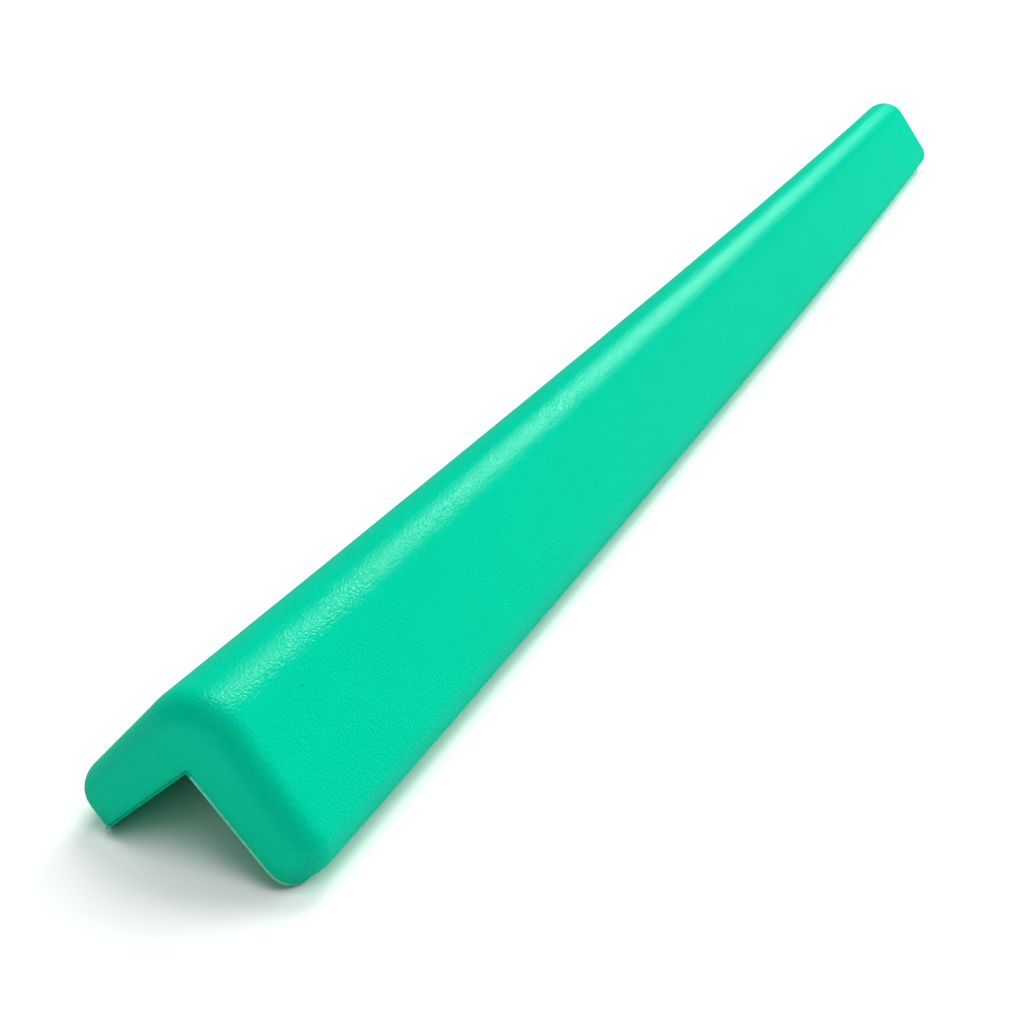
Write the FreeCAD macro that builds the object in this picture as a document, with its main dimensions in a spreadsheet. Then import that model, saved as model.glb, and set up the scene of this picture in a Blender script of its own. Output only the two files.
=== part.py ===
import FreeCAD, Part
import math
import os
import Sketcher

# Corner guard moulding: one soft foam moulding with an L section.
# It stands like a tent on the tips of its two legs, with the rounded ridge up and the open
# V that takes the wall's corner below.
# Frame: X along the length, Z up, origin at the middle of the footprint on the floor.

# Driving dimensions in mm, each with what it measures
SIZES = {
    "overall_length": (1000.0, "length from lip to lip"),
    "leg_width": (40.0, "wall side of each leg, from the inner corner to the tip"),
    "root_thickness": (18.5, "thickness of a leg at the inner corner"),
    "tip_thickness": (14.5, "thickness of a leg at its tip"),
    "ridge_radius": (16.5, "rounding of the ridge"),
    "corner_radius": (9.0, "rounding of each leg's end corners, seen square to the wall"),
    "edge_radius": (8.0, "rounding that runs all round the outer edge"),
    "lip_thickness": (1.0, "thickness of the trimmed lip round the wall side"),
    "lip_reach": (0.8, "how far the lip stands out of the ends"),
    "tip_lip_reach": (0.2, "how far the lip stands out of the tips, where it was trimmed closer"),
}
DIAGONAL_ANGLE = -135.0   # direction from the inner corner to the ridge, in the section's own axes
LAYING_ANGLE = -135.0     # turn of those axes, so that both legs slope down alike
TOUCH = 1e-4              # two places this close count as one

doc = FreeCAD.newDocument("corner_guard")


def make_sheet():
    sheet = doc.addObject("Spreadsheet::Sheet", "sizes")
    for row, (alias, (value, meaning)) in enumerate(SIZES.items(), start=1):
        sheet.set("A%d" % row, meaning)
        sheet.set("B%d" % row, str(value))
        sheet.setAlias("B%d" % row, alias)
    doc.recompute()
    return sheet


sizes = make_sheet()


# Sketches: the section's own x runs down one leg and its own y down the other

def section_sketch(body, name):
    plane = [feature for feature in body.Origin.OriginFeatures if feature.Role == "YZ_Plane"][0]
    sketch = body.newObject("Sketcher::SketchObject", name)
    sketch.AttachmentSupport = [(plane, "")]
    sketch.MapMode = "FlatFace"
    turn = FreeCAD.Rotation(FreeCAD.Vector(0, 0, 1), LAYING_ANGLE)
    sketch.AttachmentOffset = FreeCAD.Placement(FreeCAD.Vector(0, 0, 0), turn)
    return sketch


def draw_polygon(sketch, corners):
    places = [FreeCAD.Vector(x, y, 0) for x, y in corners]
    ends = places[1:] + places[:1]
    lines = [sketch.addGeometry(Part.LineSegment(a, b), False) for a, b in zip(places, ends)]
    for line, following in zip(lines, lines[1:] + lines[:1]):
        sketch.addConstraint(Sketcher.Constraint("Coincident", line, 2, following, 1))
    return lines


def draw_guide(sketch, x, y):
    """a construction line from the inner corner"""
    guide = Part.LineSegment(FreeCAD.Vector(0, 0, 0), FreeCAD.Vector(x, y, 0))
    line = sketch.addGeometry(guide, True)
    sketch.addConstraint(Sketcher.Constraint("Coincident", line, 1, -1, 1))
    return line


def bind(sketch, name, expression, *constraint):
    index = sketch.addConstraint(Sketcher.Constraint(*constraint))
    sketch.renameConstraint(index, name)
    sketch.setExpression("Constraints." + name, expression)


# Foam section: two legs that taper from the root to the tip, around the square inner corner

def draw_foam_section(body):
    width, root, tip = sizes.leg_width, sizes.root_thickness, sizes.tip_thickness
    outer = root * width / (width - root + tip)
    sketch = section_sketch(body, "foam_section")
    lines = draw_polygon(sketch, [(0, 0), (width, 0), (width, -tip), (-outer, -outer),
                                  (-tip, width), (0, width)])
    wall_a, tip_a, outer_a, outer_b, tip_b, wall_b = lines
    diagonal = draw_guide(sketch, -outer, -outer)
    gauge = draw_guide(sketch, 0, -root)
    for rule in [("Coincident", wall_a, 1, -1, 1),
                 ("Horizontal", wall_a),
                 ("Vertical", wall_b),
                 ("Equal", wall_a, wall_b),
                 ("Vertical", tip_a),
                 ("Angle", diagonal, math.radians(DIAGONAL_ANGLE)),
                 ("Coincident", diagonal, 2, outer_a, 2),
                 ("Symmetric", outer_a, 1, outer_b, 2, diagonal),
                 ("Vertical", gauge),
                 ("PointOnObject", gauge, 2, outer_a)]:
        sketch.addConstraint(Sketcher.Constraint(*rule))
    bind(sketch, "leg_width", "sizes.leg_width", "Distance", wall_a, width)
    bind(sketch, "root_thickness", "sizes.root_thickness", "Distance", gauge, root)
    bind(sketch, "tip_thickness", "sizes.tip_thickness", "Distance", tip_a, tip)
    return sketch


# Lip section: a thin sheet along both wall sides, a little wider than the legs

def draw_lip_section(body):
    reach = sizes.leg_width + sizes.tip_lip_reach
    thick = sizes.lip_thickness
    sketch = section_sketch(body, "lip_section")
    lines = draw_polygon(sketch, [(0, 0), (reach, 0), (reach, -thick), (-thick, -thick),
                                  (-thick, reach), (0, reach)])
    wall_a, edge_a, back_a, back_b, edge_b, wall_b = lines
    sketch.addConstraint(Sketcher.Constraint("Coincident", wall_a, 1, -1, 1))
    for line in (wall_a, back_a, edge_b):
        sketch.addConstraint(Sketcher.Constraint("Horizontal", line))
    for line in (wall_b, back_b, edge_a):
        sketch.addConstraint(Sketcher.Constraint("Vertical", line))
    sketch.addConstraint(Sketcher.Constraint("Equal", wall_a, wall_b))
    sketch.addConstraint(Sketcher.Constraint("Equal", edge_a, edge_b))
    bind(sketch, "lip_width", "sizes.leg_width + sizes.tip_lip_reach", "Distance", wall_a, reach)
    bind(sketch, "lip_thickness", "sizes.lip_thickness", "Distance", edge_a, thick)
    return sketch


def pad_both_ways(body, name, sketch, length):
    pad = body.newObject("PartDesign::Pad", name)
    pad.Profile = sketch
    pad.SideType = "Symmetric"
    pad.setExpression("Length", length)
    sketch.Visibility = False
    doc.recompute()
    return pad


def round_edges(body, name, base, wanted, radius):
    names = ["Edge%d" % i for i, edge in enumerate(base.Shape.Edges, start=1) if wanted(edge)]
    fillet = body.newObject("PartDesign::Fillet", name)
    fillet.Base = (base, names)
    fillet.setExpression("Radius", radius)
    doc.recompute()
    return fillet


# Edges picked by where they lie, in the body's own axes: X along it, the inner corner at 0

def down_leg(point):
    """distance from the inner corner, measured down the leg that the point lies on"""
    return (abs(point.y) - point.z) / math.sqrt(2)


def wall_depth(point):
    """distance from the wall face, measured into the foam"""
    return (abs(point.y) + point.z) / math.sqrt(2)


def runs_along(edge):
    first, last = edge.Vertexes[0].Point, edge.Vertexes[-1].Point
    return abs(first.x - last.x) > abs(first.y - last.y) + abs(first.z - last.z)


def is_ridge(edge):
    middle = edge.CenterOfMass
    return runs_along(edge) and middle.z > TOUCH and abs(middle.y) < TOUCH


def is_leg_corner(edge):
    """the four edges, square to the wall, where a tip meets an end face"""
    at_tip = all(abs(down_leg(vertex.Point) - sizes.leg_width) < TOUCH for vertex in edge.Vertexes)
    return at_tip and not runs_along(edge)


def is_outer_edge(edge):
    """the outline of the outer face, round both ends and along both tips, without the ridge's seams"""
    outside = all(wall_depth(vertex.Point) > sizes.tip_thickness - TOUCH for vertex in edge.Vertexes)
    seam = edge.Length > sizes.overall_length - 2 * sizes.lip_reach - TOUCH
    return outside and not seam


def is_lip_corner(edge):
    width = sizes.leg_width + sizes.tip_lip_reach
    at_tip = all(abs(down_leg(vertex.Point) - width) < TOUCH for vertex in edge.Vertexes)
    return at_tip and not runs_along(edge)


def make_corner_guard():
    body = doc.addObject("PartDesign::Body", "corner_guard_body")
    body.Label = "corner_guard"
    foam = pad_both_ways(body, "foam", draw_foam_section(body),
                         "sizes.overall_length - 2 * sizes.lip_reach")
    ridge = round_edges(body, "ridge_round", foam, is_ridge, "sizes.ridge_radius")
    corners = round_edges(body, "leg_corners", ridge, is_leg_corner, "sizes.corner_radius")
    round_edges(body, "outer_round", corners, is_outer_edge, "sizes.edge_radius")
    lip = pad_both_ways(body, "lip", draw_lip_section(body), "sizes.overall_length")
    round_edges(body, "lip_corners", lip, is_lip_corner,
                "sizes.corner_radius + sizes.tip_lip_reach")
    # the lip's lower edges touch the floor
    body.setExpression("Placement.Base.z", "(sizes.leg_width + sizes.tip_lip_reach) * sin(45)")
    doc.recompute()
    return body


guard = make_corner_guard()

for thing in doc.Objects:
    if "Invalid" in thing.State or "Error" in thing.State:
        raise RuntimeError("%s could not be computed" % thing.Label)
if guard.Shape.isNull() or not guard.Shape.isValid() or len(guard.Shape.Solids) != 1:
    raise RuntimeError("the guard is not one valid solid")

os.makedirs("parts", exist_ok=True)
guard.Shape.exportStep("parts/%s.step" % guard.Label)
box = guard.Shape.BoundBox
print("corner guard: %.1f x %.1f x %.1f mm, %.0f cubic cm, lowest point %.4f" % (
    box.XLength, box.YLength, box.ZLength, guard.Shape.Volume / 1000, box.ZMin))
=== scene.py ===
# %% [markdown]
# # A soft corner guard moulding
# One piece of polyurethane foam with an L section, moulded with its own skin.
# It is glued over the corner of a wall or a pillar, so that a knock doesn't hurt.
# Here it stands like a tent on the tips of its two legs, ridge up, on a plain white floor.

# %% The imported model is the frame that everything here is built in
import math

import bmesh
import bpy
from mathutils import Matrix, Vector, noise


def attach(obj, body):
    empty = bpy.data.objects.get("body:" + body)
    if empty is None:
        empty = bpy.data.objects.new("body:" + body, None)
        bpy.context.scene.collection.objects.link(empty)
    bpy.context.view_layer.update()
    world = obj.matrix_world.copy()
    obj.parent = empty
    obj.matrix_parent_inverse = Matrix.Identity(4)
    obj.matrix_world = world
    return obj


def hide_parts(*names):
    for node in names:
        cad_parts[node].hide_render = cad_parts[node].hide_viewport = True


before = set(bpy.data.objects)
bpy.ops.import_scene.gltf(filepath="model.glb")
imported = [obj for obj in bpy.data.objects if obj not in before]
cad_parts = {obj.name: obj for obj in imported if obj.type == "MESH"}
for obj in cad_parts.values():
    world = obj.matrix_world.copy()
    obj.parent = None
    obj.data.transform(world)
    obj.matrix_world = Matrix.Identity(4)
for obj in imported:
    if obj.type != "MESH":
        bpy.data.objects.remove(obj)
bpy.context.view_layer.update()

MM = 0.001                # metres
PER_METRE = 1000          # mm; a pattern's scale counts how often it repeats in a metre
CM3 = 1e-6                # cubic metres

# %% [markdown]
# ## Sizes
# All in millimetres, as the mould would be drawn. A leg is 40 mm wide on its wall side and
# tapers from 18.5 mm at the inner corner to 14.5 mm at its tip. Every size of the mould is
# drawn square to a leg and not to the floor. So a point is given by x along the length, p
# down the right leg and q down the left one, with the inner corner of the V at zero.

# %% Sizes
LIP_REACH = 0.3           # how far the trimmed lip stands out of the ends
TIP_LIP_REACH = 0.2       # and out of the tips, where the knife went closer
HALF = 500.0 - LIP_REACH  # half of the foam's length
LEG = 40.0
ROOT = 18.5
TIP = 14.5
RIDGE_RADIUS = 16.5
CORNER_RADIUS = 9.0       # end corners of a leg, seen square to the wall
EDGE_RADIUS = 8.0         # rounding all round the outer edge
S45 = math.sqrt(0.5)      # both legs slope at 45 degrees
APEX_Z = (LEG + TIP_LIP_REACH) * S45      # height of the V's inner corner
CLOSE = 0.01              # two measures this close count as one


def place(x, p, q):
    """a point x along the length, p down the right leg and q down the left one, in metres"""
    return Vector((x, (q - p) * S45, APEX_Z - (p + q) * S45)) * MM


def measure(point):
    """the same three numbers read back from a point"""
    fall = (APEX_Z - point.z / MM) * S45
    side = point.y / MM * S45
    return point.x / MM, fall - side, fall + side


def volume(bm):
    """in cubic centimetres"""
    return round(bm.calc_volume() / CM3, 1)


# %% [markdown]
# ## The section
# A mould for a long part is a straight trough, so the foam has one section all the way and
# the model starts from it. The ridge is an arc, so it is spun round its own centre, and the
# straight sides of the legs are only corners joined up. The face that fills the outline is
# then drawn out to the other end.

# %% Draw the section at one end
RIDGE_STEPS = 28


def start_section(bm):
    corner = ROOT * LEG / (LEG - ROOT + TIP)            # the sharp ridge, before its rounding
    lean = math.atan2(ROOT - TIP, LEG)                  # slope of the outer face to the wall
    half_angle = math.pi / 4 - lean
    centre = -corner + RIDGE_RADIUS / math.sin(half_angle) * S45
    first = bm.verts.new(place(-HALF, centre + RIDGE_RADIUS * math.sin(lean),
                               centre - RIDGE_RADIUS * math.cos(lean)))
    spun = bmesh.ops.spin(bm, geom=[first], cent=place(-HALF, centre, centre), axis=(1, 0, 0),
                          angle=2 * half_angle - math.pi, steps=RIDGE_STEPS)
    last = spun["geom_last"][0]
    corners = [(-TIP, LEG), (0, LEG), (0, 0), (LEG, 0), (LEG, -TIP)]
    chain = [last] + [bm.verts.new(place(-HALF, p, q)) for p, q in corners] + [first]
    for a, b in zip(chain, chain[1:]):
        bm.edges.new((a, b))


def pull_out(bm, section):
    """the section face drawn out to the other end of the foam"""
    drawn = bmesh.ops.extrude_face_region(bm, geom=[section])
    moved = [item for item in drawn["geom"] if isinstance(item, bmesh.types.BMVert)]
    bmesh.ops.translate(bm, verts=moved, vec=(2 * HALF * MM, 0, 0))
    bmesh.ops.recalc_face_normals(bm, faces=bm.faces)


bm = bmesh.new()
start_section(bm)
section = bmesh.ops.contextual_create(bm, geom=list(bm.verts) + list(bm.edges))["faces"][0]
pull_out(bm, section)
print("section corners:", len(section.verts), "volume, cm3:", volume(bm))

# %% [markdown]
# ## The mould's roundings
# A hand meets this part at speed, so nothing on its outside is sharp. First each leg's end
# corners are rounded as seen square to the wall. Then one rounding of 8 mm runs right round
# the outer edge, over the ridge and round those corners. Each is one bevel of picked edges.
# The second is set by its width, so that it stays as wide where the faces meet at a slant.

# %% Round the corners, then the whole outer edge
ROUNDING_STEPS = 10
CIRCLE = 0.5              # the profile of a bevel that is an arc
CLEARLY = 0.5             # share of a normal that counts as clearly up or down


def is_outer(face):
    """the two outer faces and the ridge between them look up; everything else looks out or down"""
    return face.normal.z > CLEARLY


def is_leg_corner(edge):
    x, p, q = measure((edge.verts[0].co + edge.verts[1].co) / 2)
    return abs(abs(x) - HALF) < CLOSE and abs(max(p, q) - LEG) < CLOSE


def is_outer_rim(edge):
    return sum(is_outer(face) for face in edge.link_faces) == 1


def bevel(bm, wanted, width, kind):
    picked = [edge for edge in bm.edges if wanted(edge)]
    bmesh.ops.bevel(bm, geom=picked, affect="EDGES", offset=width * MM, offset_type=kind,
                    segments=ROUNDING_STEPS, profile=CIRCLE, material=-1, clamp_overlap=False)
    bm.normal_update()
    print(wanted.__name__, "bevelled edges:", len(picked))


bm.normal_update()
bevel(bm, is_leg_corner, CORNER_RADIUS, "OFFSET")
bevel(bm, is_outer_rim, EDGE_RADIUS * math.sqrt(2), "WIDTH")
print("volume, cm3:", volume(bm))

# %% [markdown]
# ## The trimmed lip
# The two halves of the mould meet round the wall side, and foam creeps a little way into the
# joint. Trimmed with a knife it leaves a thin lip, which shows on the near end as a pale line
# with a dark groove beside it. Along the two tips the knife went close, and the left corners
# kept the most.
# The sides are cut into narrow bands, and each line between two bands moves out or in.
# LIP_PROFILE says how: pairs of a distance from the wall side and a share of the lip's reach.

# %% Cut bands round the sides and shape the lip with them
LIP_PROFILE = [(0.0, 1.0), (0.2, 1.0), (0.3, 0.2), (0.42, -1.2), (0.6, -1.2), (0.75, 0.0)]
TRIM_WANDER = 0.08        # how unevenly the knife went
TRIM_WAVES = 90           # of its waves in a metre
LEFT_MORE = 0.9           # how much more lip the left corners kept, as a share
RIGHT_MORE = 0.2          # and the right ones
MORE_FROM_TO = (5, 35)    # degrees of a corner's turn over which the lip grows
LEFT_CLOSE_FROM_TO = (70, 89)     # and over which it shrinks to the tips' close trim
RIGHT_CLOSE_FROM_TO = (30, 65)
FACES_END = 0.99          # lengthwise share of a normal on an end face
CUT_SNAP = 1e-6           # metres; a vertex this close to a cut is on it


def cut(bm, through, normal, faces):
    parts = set(faces)
    for face in faces:
        parts.update(face.edges)
        parts.update(face.verts)
    bmesh.ops.bisect_plane(bm, geom=list(parts), plane_co=through, plane_no=normal,
                           dist=CUT_SNAP)


def looks_at_wall(face):
    """a face of the inner V"""
    x, p, q = measure(face.calc_center_median())
    return abs(face.normal.x) < CLOSE and abs(min(p, q)) < CLOSE and face.normal.z < -CLEARLY


def side_faces(bm):
    return [face for face in bm.faces if not is_outer(face) and not looks_at_wall(face)]


def round_the_corner(x, p, q):
    """how far (x out of an end, down a leg past its corner's start) and the turn between them"""
    along = max(abs(x) - (HALF - CORNER_RADIUS), 0.0)
    down = max(max(p, q) - (LEG - CORNER_RADIUS), 0.0)
    return along, down, math.degrees(math.atan2(down, along)) if along or down else 0.0


def outward(x, p, q):
    """the way out of the footprint at a point of its rim"""
    along, down, turn = round_the_corner(x, p, q)
    down_p, down_q = (down, 0.0) if p > q else (0.0, down)
    return (place(math.copysign(along, x), down_p, down_q) - place(0, 0, 0)).normalized()


def blend_between(value, start, stop):
    share = min(1.0, max(0.0, (value - start) / (stop - start)))
    return share * share * (3 - 2 * share)


def reach_share(x, p, q):
    """1 along the ends, more round the corners, and less where the lip was trimmed close"""
    turn = round_the_corner(x, p, q)[2]
    more = (RIGHT_MORE if p > q else LEFT_MORE) * blend_between(turn, *MORE_FROM_TO)
    close = blend_between(turn, *(RIGHT_CLOSE_FROM_TO if p > q else LEFT_CLOSE_FROM_TO))
    return (1.0 + more) * (1.0 - close) + close * TIP_LIP_REACH / LIP_REACH


bm.normal_update()
down_p = (place(0, 1, 0) - place(0, 0, 0)).normalized()
down_q = (place(0, 0, 1) - place(0, 0, 0)).normalized()
cut(bm, place(0, 0, 0), (0, 1, 0), [face for face in bm.faces if abs(face.normal.x) > FACES_END])
for height, _ in LIP_PROFILE[1:]:
    for spot, axis, side in ((place(0, 0, -height), down_q, -1), (place(0, -height, 0), down_p, 1)):
        leg = [face for face in side_faces(bm) if face.calc_center_median().y * side > 0]
        cut(bm, spot, axis, leg)
        bm.normal_update()
rim = {vert for face in side_faces(bm) for vert in face.verts}
for vert in rim:
    x, p, q = measure(vert.co)
    for height, reach in LIP_PROFILE[:-1]:
        if abs(-min(p, q) - height) < CLOSE:
            wave = noise.noise(vert.co * TRIM_WAVES)
            wander = TRIM_WANDER * wave if reach > 0 else 0.0
            out = (LIP_REACH * reach_share(x, p, q) + wander) * reach
            vert.co += outward(x, p, q) * out * MM
            break
bmesh.ops.recalc_face_normals(bm, faces=bm.faces)
print("rim vertices:", len(rim), "volume, cm3:", volume(bm))

# %% [markdown]
# ## Soft faces
# Foam shrinks a little as it cures, so a real moulding is nowhere quite flat and the long
# piece bends slightly. The faces are first cut into a grid that can take such shapes. It is
# finer close to the ridge and to the ends, and the end faces are cut into bands.

# %% Cut the grid
LENGTH_STEP = 6.0
LEG_STEP = 4.0
FINE_STEP = 1.3           # close to the ridge and to the ends, where the roundings run out
FINE_LEG = 10.5           # so far down the legs
FINE_END = 24.0           # and so far from the ends
COARSE_LEG_TO = 28.0      # below this the outer edge's own rounding has lines enough
END_BAND = 1.5
END_BANDS = 7
SOFT_FROM = 2.5           # the end faces are cut from this far off the wall side
FULLY_END = 0.9999        # lengthwise share of a normal where an end face is still flat
CREASE_DOWN = 18.0        # a faint line in the skin, this far down the right leg
CREASE_BESIDE = 0.9       # two more cuts beside it hold the skin round it


def half_faces(bm, side):
    """the faces of one leg, -1 for the right one and 1 for the left one"""
    return [face for face in bm.faces if face.calc_center_median().y * side > 0]


def end_faces(bm, side):
    flat = [face for face in half_faces(bm, side) if abs(face.normal.x) > FULLY_END]
    past_lip = LIP_PROFILE[-1][0]
    return [face for face in flat if -min(measure(face.calc_center_median())[1:]) > past_lip]


def numbers(start, stop, step):
    count = round((stop - start) / step)
    return [start + i * (stop - start) / count for i in range(count + 1)]


fine_downs = numbers(FINE_STEP, FINE_LEG, FINE_STEP)
coarse_downs = numbers(FINE_LEG + LEG_STEP / 2, COARSE_LEG_TO, LEG_STEP)
for down in fine_downs + coarse_downs:
    cut(bm, place(0, down, 0), down_p, half_faces(bm, -1))
    cut(bm, place(0, 0, down), down_q, half_faces(bm, 1))
for down in (CREASE_DOWN - CREASE_BESIDE, CREASE_DOWN, CREASE_DOWN + CREASE_BESIDE):
    cut(bm, place(0, down, 0), down_p, [face for face in half_faces(bm, -1) if is_outer(face)])
for depth in numbers(SOFT_FROM, SOFT_FROM + END_BANDS * END_BAND, END_BAND):
    bm.normal_update()
    cut(bm, place(0, 0, -depth), down_q, end_faces(bm, -1))
    cut(bm, place(0, -depth, 0), down_p, end_faces(bm, 1))
fine = numbers(HALF - FINE_END, HALF - EDGE_RADIUS - FINE_STEP, FINE_STEP)
coarse = numbers(-HALF + FINE_END, HALF - FINE_END, LENGTH_STEP)
for x in [-far for far in fine] + coarse[1:-1] + fine:
    cut(bm, place(x, 0, 0), (1, 0, 0), list(bm.faces))
print("grid faces:", len(bm.faces))

# %% [markdown]
# Curing foam pulls a rounding soft where it meets a flat face, and no line is left to see
# there. The grid is relaxed a little for that, everywhere but close to the lip.

# %% Let the roundings run out softly
SOFT_ROUNDS = 3
SOFT_SHARE = 0.5          # of the way to its neighbours' middle that a vertex goes each time
HELD_TO = SOFT_FROM + 0.1         # the first line of the end bands stays where it is
skin_verts = [vert for vert in bm.verts if -min(measure(vert.co)[1:]) > HELD_TO]
for _ in range(SOFT_ROUNDS):
    bmesh.ops.smooth_vert(bm, verts=skin_verts, factor=SOFT_SHARE, use_axis_x=True,
                          use_axis_y=True, use_axis_z=True)
print("relaxed:", len(skin_verts), "volume, cm3:", volume(bm))

# %% [markdown]
# Now the grid moves as cured foam lies. The whole length bows a little to the right, the
# outside waves by a tenth of a millimetre and the wall side stays flat. A shallow crease
# runs lengthwise on the near part of the right leg, as bending leaves one in a thick skin.

# %% Move the grid
BOW = 3.45                # how far the middle of the length stands to the right of the ends
WAVE = 0.12               # height of the waves
WAVE_LENGTH = 70.0        # of a wave along the piece
WAVE_DOWN = 22.0          # and down a leg
WAVE_FADE = 8.0           # depth of foam over which the waves fade out towards the wall side
CREASE_DEPTH = 0.04
CREASE_WIDTH = 0.6
CREASE_START = -490.0
CREASE_LENGTH = 90.0
OUTER_SIDE = -5.0         # a q below this lies on the right leg's outer face


def crease(x, p, q):
    """how deep the faint line is at a point of the right leg's outer face"""
    along = (x - CREASE_START) / CREASE_LENGTH
    across = (p - CREASE_DOWN) / CREASE_WIDTH
    if q > OUTER_SIDE or not 0 < along < 1:
        return 0.0
    return CREASE_DEPTH * math.sin(math.pi * along) * math.exp(-across ** 2)


def bow(x):
    """how far the length stands to the left at x, so that half of the bow lies on each side"""
    half = HALF + LIP_REACH
    share = (x + half) / (2 * half)
    return BOW * (0.5 - 4 * share * (1 - share))


bm.normal_update()
moves = {}
for vert in bm.verts:
    x, p, q = measure(vert.co)
    inside = min(1.0, max(0.0, -min(p, q) / WAVE_FADE))
    wave = WAVE * noise.noise(Vector((x / WAVE_LENGTH, p / WAVE_DOWN, q / WAVE_DOWN))) * inside
    moves[vert] = vert.normal * (wave - crease(x, p, q)) * MM + Vector((0, bow(x) * MM, 0))
for vert, move in moves.items():
    vert.co += move
print("longest move, mm:", round(max(move.length for move in moves.values()) / MM, 2))

# %% [markdown]
# The finish needs to know two places, so the mesh carries them: the faces that the knife cut,
# and the tight roundings of the ends, where the normal turns from the length to the side and
# the colour takes painted shade.

# %% Make the object
KNIFE_DEPTH = 0.25        # the knife's cut reaches this far up from the wall side
SHARP_FROM = 35           # degrees; a turn past this stays a crisp edge
mesh = bpy.data.meshes.new("corner_guard_foam")
bm.to_mesh(mesh)
bm.free()
knife_cut = mesh.attributes.new("knife_cut", "FLOAT", "FACE")
for face in mesh.polygons:
    depths = [-min(measure(mesh.vertices[i].co)[1:]) for i in face.vertices]
    in_the_v = face.normal.z < -CLEARLY and abs(face.normal.x) < CLOSE
    knife_cut.data[face.index].value = float(max(depths) < KNIFE_DEPTH and not in_the_v)
# painted shade: strongest where the normal lies half along the length, on the ends' roundings
rounding = mesh.attributes.new("painted_rounding_shade", "FLOAT", "POINT")
for vert in mesh.vertices:
    lengthwise = vert.normal.x ** 2
    rounding.data[vert.index].value = 4 * lengthwise * (1 - lengthwise)
mesh.shade_smooth()
mesh.set_sharp_from_angle(angle=math.radians(SHARP_FROM))
guard = bpy.data.objects.new("corner_guard_foam", mesh)
bpy.context.collection.objects.link(guard)
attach(guard, "root")
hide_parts("corner_guard")
print("faces:", len(mesh.polygons))

# %% [markdown]
# ## The skin
# Integral-skin polyurethane foam. It is poured as a liquid and foams in the mould, where the
# cool walls turn its outside into a closed skin that takes the leather grain of the mould.
# The colour goes right through, so one teal green does for all of it. It is a little deeper
# in clouds and paler where the knife opened the cells, and the tight roundings of the ends
# carry painted shade, a deeper green. One burst bubble left a dark speck.
# The skin is matt to satin. A wide sheen in its own colour lifts the ridge, and a sharper
# glint breaks up on the grain, so that the band of light along the ridge sparkles and
# nothing is mirrored. The grain is too fine to model, so it only tilts the light.

# %% Helpers for finishes
def linear(hex_colour):
    """an sRGB hex colour as the four linear numbers that a socket wants"""
    parts = [int(hex_colour[i:i + 2], 16) / 255 for i in (1, 3, 5)]
    return (*[c / 12.92 if c <= 0.04045 else ((c + 0.055) / 1.055) ** 2.4 for c in parts], 1.0)


def node(tree, kind, links=(), **settings):
    """one node; settings with a lower-case name are its own, the others are sockets by name"""
    made = tree.nodes.new(kind)
    for name, value in settings.items():
        if name.islower() and hasattr(made, name):
            setattr(made, name, value)
        else:
            made.inputs[name.replace("_", " ")].default_value = value
    for socket, source in dict(links).items():
        tree.links.new(source, made.inputs[socket])
    return made


# %% Moulded polyurethane skin
FOAM = "#00D3A7"          # teal green, the same right through the foam
FOAM_DEEP = "#00CBA0"     # where the skin is a little thicker, in clouds
FOAM_ROUNDING_SHADE = "#00C096"    # painted shade on the tight roundings of the ends
FOAM_CUT = "#63DDBB"      # the knife's cut through the lip opens the paler cells
SHEEN = "#00FFF0"         # the wide, weak sheen takes the colour of the skin
GLINT = "#FFFFFF"         # what the lamps give back straight off the grain
SHEEN_ROUGHNESS = 0.35
GLINT_ROUGHNESS = 0.1
GLINT_SHARE = 0.43        # of all that the skin throws back
SKIN_IOR = 1.33
SHEEN_LIMIT = 0.15        # a rough skin never turns into a mirror at its edges
GRAIN = 0.8               # width of a pebble of the leather grain, mm
GRAIN_HEIGHT = 0.17       # mm
GRAIN_SOFTNESS = 0.4      # how gently one pebble runs into the next
CLOUD = 25.0              # width of a cloud of slightly deeper colour, mm
CLOUD_DETAIL = 3.0
PIT = "#00A57E"           # one speck that a bubble left on the right leg, near its end
PIT_PLACE = (-468.2, 1.7, -18.3)
PIT_SIZE = 0.6            # mm


def mix_of(tree, share, first, second):
    """two shaders mixed; share is a number or a node's output"""
    mix = node(tree, "ShaderNodeMixShader", {1: first.outputs[0], 2: second.outputs[0]})
    if isinstance(share, float):
        mix.inputs[0].default_value = share
    else:
        tree.links.new(share, mix.inputs[0])
    return mix


def blend_colour(tree, share, under, hex_colour):
    """a second colour over the one under it, by a node's share"""
    mix = node(tree, "ShaderNodeMix", {0: share, "A": under}, data_type="RGBA")
    mix.inputs["B"].default_value = linear(hex_colour)
    return mix.outputs[2]


def speck(tree, where, x, p, q):
    """1 at a point of the skin, fading out within the size of a pit"""
    centre = place(x, p, q) + Vector((0, bow(x), 0)) * MM
    gap = node(tree, "ShaderNodeVectorMath", {0: where}, operation="DISTANCE")
    gap.inputs[1].default_value = centre
    return node(tree, "ShaderNodeMapRange", {"Value": gap.outputs["Value"]},
                interpolation_type="SMOOTHSTEP", From_Max=PIT_SIZE * MM, To_Min=1.0,
                To_Max=0.0).outputs["Result"]


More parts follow.
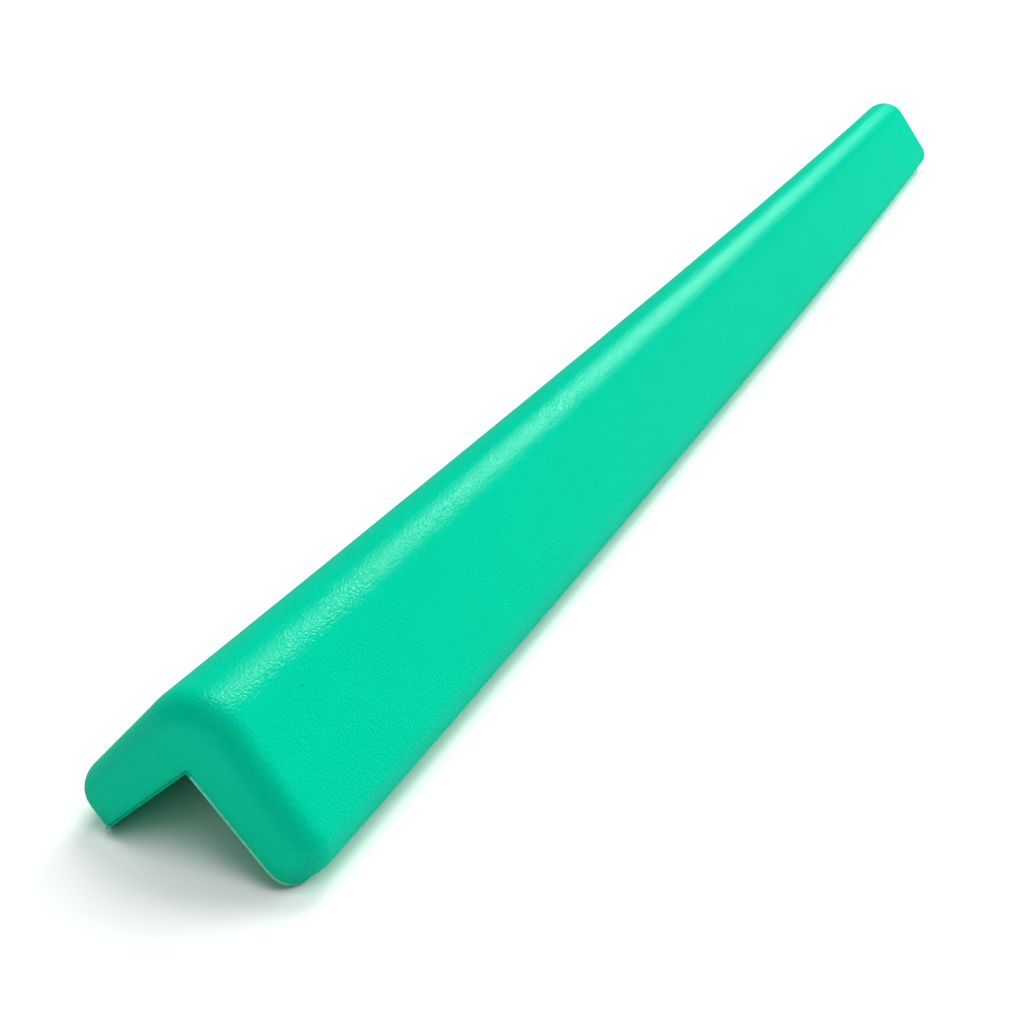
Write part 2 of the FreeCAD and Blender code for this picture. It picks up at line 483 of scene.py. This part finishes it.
def foam_material():
    made = bpy.data.materials.new("integral_skin_pu_foam_leather_grain")
    made.use_nodes = True
    tree = made.node_tree
    tree.nodes.remove(tree.nodes["Principled BSDF"])
    where = node(tree, "ShaderNodeTexCoord").outputs["Object"]
    clouds = node(tree, "ShaderNodeTexNoise", {"Vector": where}, Scale=PER_METRE / CLOUD,
                  Detail=CLOUD_DETAIL)
    colour = node(tree, "ShaderNodeMix", {0: clouds.outputs[0]}, data_type="RGBA")
    colour.inputs["A"].default_value = linear(FOAM)
    colour.inputs["B"].default_value = linear(FOAM_DEEP)
    tight = node(tree, "ShaderNodeAttribute", attribute_name="painted_rounding_shade")
    knife = node(tree, "ShaderNodeAttribute", attribute_name="knife_cut")
    # painted shade: a deeper green on the ends' tight roundings
    foam = blend_colour(tree, tight.outputs["Fac"], colour.outputs[2], FOAM_ROUNDING_SHADE)
    foam = blend_colour(tree, knife.outputs["Fac"], foam, FOAM_CUT)
    foam = blend_colour(tree, speck(tree, where, *PIT_PLACE), foam, PIT)
    pebbles = node(tree, "ShaderNodeTexVoronoi", {"Vector": where}, feature="SMOOTH_F1",
                   Scale=PER_METRE / GRAIN, Smoothness=GRAIN_SOFTNESS)
    bump = node(tree, "ShaderNodeBump", {"Height": pebbles.outputs["Distance"]}, invert=True,
                Strength=1.0, Distance=GRAIN_HEIGHT * MM)
    normal = {"Normal": bump.outputs["Normal"]}
    body = node(tree, "ShaderNodeBsdfDiffuse", {"Color": foam, **normal})
    sheen = node(tree, "ShaderNodeBsdfGlossy", normal, Color=linear(SHEEN),
                 Roughness=SHEEN_ROUGHNESS)
    glint = node(tree, "ShaderNodeBsdfGlossy", normal, Color=linear(GLINT),
                 Roughness=GLINT_ROUGHNESS)
    edge = node(tree, "ShaderNodeFresnel", normal, IOR=SKIN_IOR)
    limited = node(tree, "ShaderNodeMath", {0: edge.outputs[0]}, operation="MINIMUM")
    limited.inputs[1].default_value = SHEEN_LIMIT
    skin = mix_of(tree, limited.outputs[0], body, mix_of(tree, GLINT_SHARE, sheen, glint))
    tree.links.new(skin.outputs[0], tree.nodes["Material Output"].inputs["Surface"])
    return made


skin = foam_material()
guard.data.materials.append(skin)
print(skin.name, "nodes:", len(skin.node_tree.nodes))

# %% [markdown]
# ## Studio
# The piece lies on white paper in a white room, and only its soft shadow shows of either. A
# photographer gets this with lamps that light the paper alone. Here the paper answers by who
# looks at it. It bounces light onto the foam as white paper does, the camera sees it a touch
# brighter, and the foam's sheen sees it dim. Far from the middle the camera sees plain white,
# so that no horizon is left.

# %% Floor
FLOOR_SIZE = 20.0
FLOOR_BOUNCE = 0.95       # what the floor gives back to the object
FLOOR_SEEN = 1.08         # what the camera sees of it
FLOOR_IN_SHEEN = 0.3      # what the foam's sheen shows of it
FADE_FROM = 1.2           # metres from the middle where the seen floor starts to run out
FADE_TO = 2.2             # and where it is plain white, as the room behind it


def grey(value):
    return value, value, value, 1.0


def white_floor():
    bm = bmesh.new()
    bmesh.ops.create_grid(bm, x_segments=1, y_segments=1, size=FLOOR_SIZE / 2)
    data = bpy.data.meshes.new("floor")
    bm.to_mesh(data)
    bm.free()
    floor = bpy.data.objects.new("floor", data)
    bpy.context.collection.objects.link(floor)
    paint = bpy.data.materials.new("white_paper_floor")
    paint.use_nodes = True
    tree = paint.node_tree
    tree.nodes.remove(tree.nodes["Principled BSDF"])
    path = node(tree, "ShaderNodeLightPath")
    bounce = node(tree, "ShaderNodeBsdfDiffuse", Color=grey(FLOOR_BOUNCE))
    seen = node(tree, "ShaderNodeBsdfDiffuse", Color=grey(FLOOR_SEEN))
    sheen = node(tree, "ShaderNodeBsdfDiffuse", Color=grey(FLOOR_IN_SHEEN))
    white = node(tree, "ShaderNodeEmission", Strength=1.0)
    where = node(tree, "ShaderNodeTexCoord").outputs["Object"]
    away = node(tree, "ShaderNodeVectorMath", {0: where}, operation="LENGTH").outputs["Value"]
    fade = node(tree, "ShaderNodeMapRange", {"Value": away}, interpolation_type="SMOOTHSTEP",
                From_Min=FADE_FROM, From_Max=FADE_TO)
    unseen = mix_of(tree, path.outputs["Is Glossy Ray"], bounce, sheen)
    faded = mix_of(tree, fade.outputs["Result"], seen, white)
    mix = mix_of(tree, path.outputs["Is Camera Ray"], unseen, faded)
    tree.links.new(mix.outputs[0], tree.nodes["Material Output"].inputs["Surface"])
    floor.data.materials.append(paint)


white_floor()
print("floor, m:", FLOOR_SIZE)

# %% [markdown]
# Seven soft boxes stand round the piece. The two over its far end make the band of light
# along the ridge, and the foam's sheen sees only those. The others lift the sides, each by
# what that side is short of, and leave no second band.

# %% Lamps
LAMP_DISTANCE = 3.5       # metres from the middle of what is lit
LIT_MIDDLE = Vector((0.3, 0.0, 0.0))
# name, degrees round from the far end, degrees up, side of the box in metres, watts
LAMPS = [("far", 2, 35, 1.1, 31.0),
         ("far_high", 0, 70, 2.0, 57.0),
         ("far_right", -30, 15, 1.5, 48.0),
         ("right", -65, 35, 2.0, 36.0),
         ("near_right", -150, 60, 2.0, 47.0),
         ("near", 180, 22, 2.0, 13.0),
         ("left", 90, 20, 2.0, 53.0)]
IN_SHEEN = ("far", "far_high")


def soft_lamp(name, around, up, size, power):
    """a square soft box that faces the middle; around is 0 past the far end, 90 on the left"""
    turn, rise = math.radians(around), math.radians(up)
    level = math.cos(rise)
    way = Vector((level * math.cos(turn), level * math.sin(turn), math.sin(rise)))
    data = bpy.data.lights.new(name, "AREA")
    data.shape = "SQUARE"
    data.size = size
    data.energy = power
    lamp = bpy.data.objects.new(name, data)
    lamp.location = LIT_MIDDLE + way * LAMP_DISTANCE
    lamp.rotation_euler = way.to_track_quat("Z", "Y").to_euler()
    lamp.visible_glossy = name in IN_SHEEN
    bpy.context.collection.objects.link(lamp)
    return lamp


lamps = [soft_lamp(*line) for line in LAMPS]
print("lamps:", len(lamps), "in the sheen:", sum(lamp.visible_glossy for lamp in lamps))

# %% [markdown]
# The room behind is white to the camera and nearly dark in the sheen. It gives no light of
# its own, so that the lamps alone shape the shadow.

# %% World
ROOM_IN_SHEEN = 0.05
scene = bpy.context.scene
world = bpy.data.worlds.new("white_room")
scene.world = world
world.use_nodes = True
tree = world.node_tree
path = node(tree, "ShaderNodeLightPath")
background = tree.nodes["Background"]
background.inputs["Color"].default_value = grey(1.0)
rays = {0: path.outputs["Is Glossy Ray"], 2: path.outputs["Is Camera Ray"]}
strength = node(tree, "ShaderNodeMath", rays, operation="MULTIPLY_ADD")
strength.inputs[1].default_value = ROOM_IN_SHEEN
tree.links.new(strength.outputs[0], background.inputs["Strength"])
print("world:", world.name)

# %% [markdown]
# ## Camera
# It looks along the piece from above its near end. Its place, its turn and its lens come from
# fitting the part's outline to the photograph.

# %% Camera
LENS = 54.63              # mm
SENSOR = 36.0
CLIP_FROM = 0.01          # metres
CLIP_TO = 200.0
CAMERA_SPOT = (-0.76906, -0.18033, 0.24830)
CAMERA_RIGHT = (0.37410, -0.92589, 0.05276)
CAMERA_AHEAD = (0.85094, 0.32008, -0.41648)


def make_camera():
    data = bpy.data.cameras.new("camera")
    data.lens = LENS
    data.sensor_width = SENSOR
    data.clip_start = CLIP_FROM
    data.clip_end = CLIP_TO
    camera = bpy.data.objects.new("camera", data)
    back = -Vector(CAMERA_AHEAD).normalized()
    right = Vector(CAMERA_RIGHT).normalized()
    up = back.cross(right).normalized()
    turn = Matrix((right, up, back)).transposed().to_4x4()
    camera.matrix_world = Matrix.Translation(CAMERA_SPOT) @ turn
    bpy.context.collection.objects.link(camera)
    return camera


scene.camera = make_camera()
scene.view_settings.view_transform = "Standard"
print("lens, mm:", LENS)
